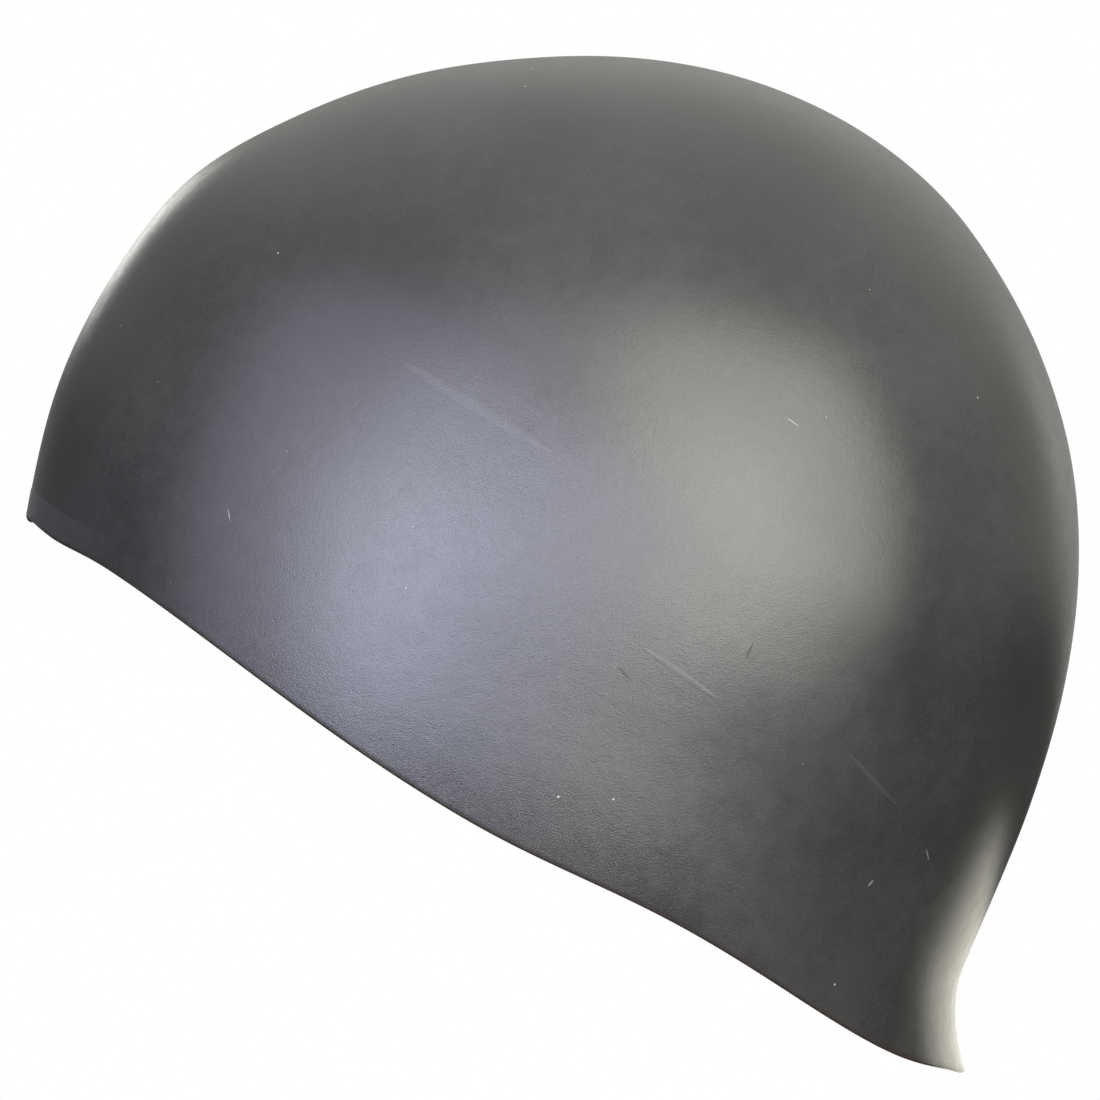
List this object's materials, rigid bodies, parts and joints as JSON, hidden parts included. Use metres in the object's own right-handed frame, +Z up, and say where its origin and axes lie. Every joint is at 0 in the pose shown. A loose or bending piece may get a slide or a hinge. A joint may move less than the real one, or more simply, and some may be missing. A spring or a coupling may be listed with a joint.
{
  "type": "swim cap",
  "caption": "Moulded silicone swim cap in its worn form: a seamless dome over the head, a wavy edge that falls from brow to nape, and an open hollow for the head",
  "frame": {"origin": "the highest point of the inside of the crown, on the middle plane, where the top of the head bears", "axes": "+X from the brow to the nape, -X the way the wearer faces, +Y to the wearer's right, +Z up as on an upright head"},
  "size_m": [0.2006, 0.1542, 0.1942],
  "materials": {
    "silicone": "satin moulded silicone, dark grey"
  },
  "bodies": {
    "root": {"cap_shell": "silicone"}
  },
  "joints": []
}
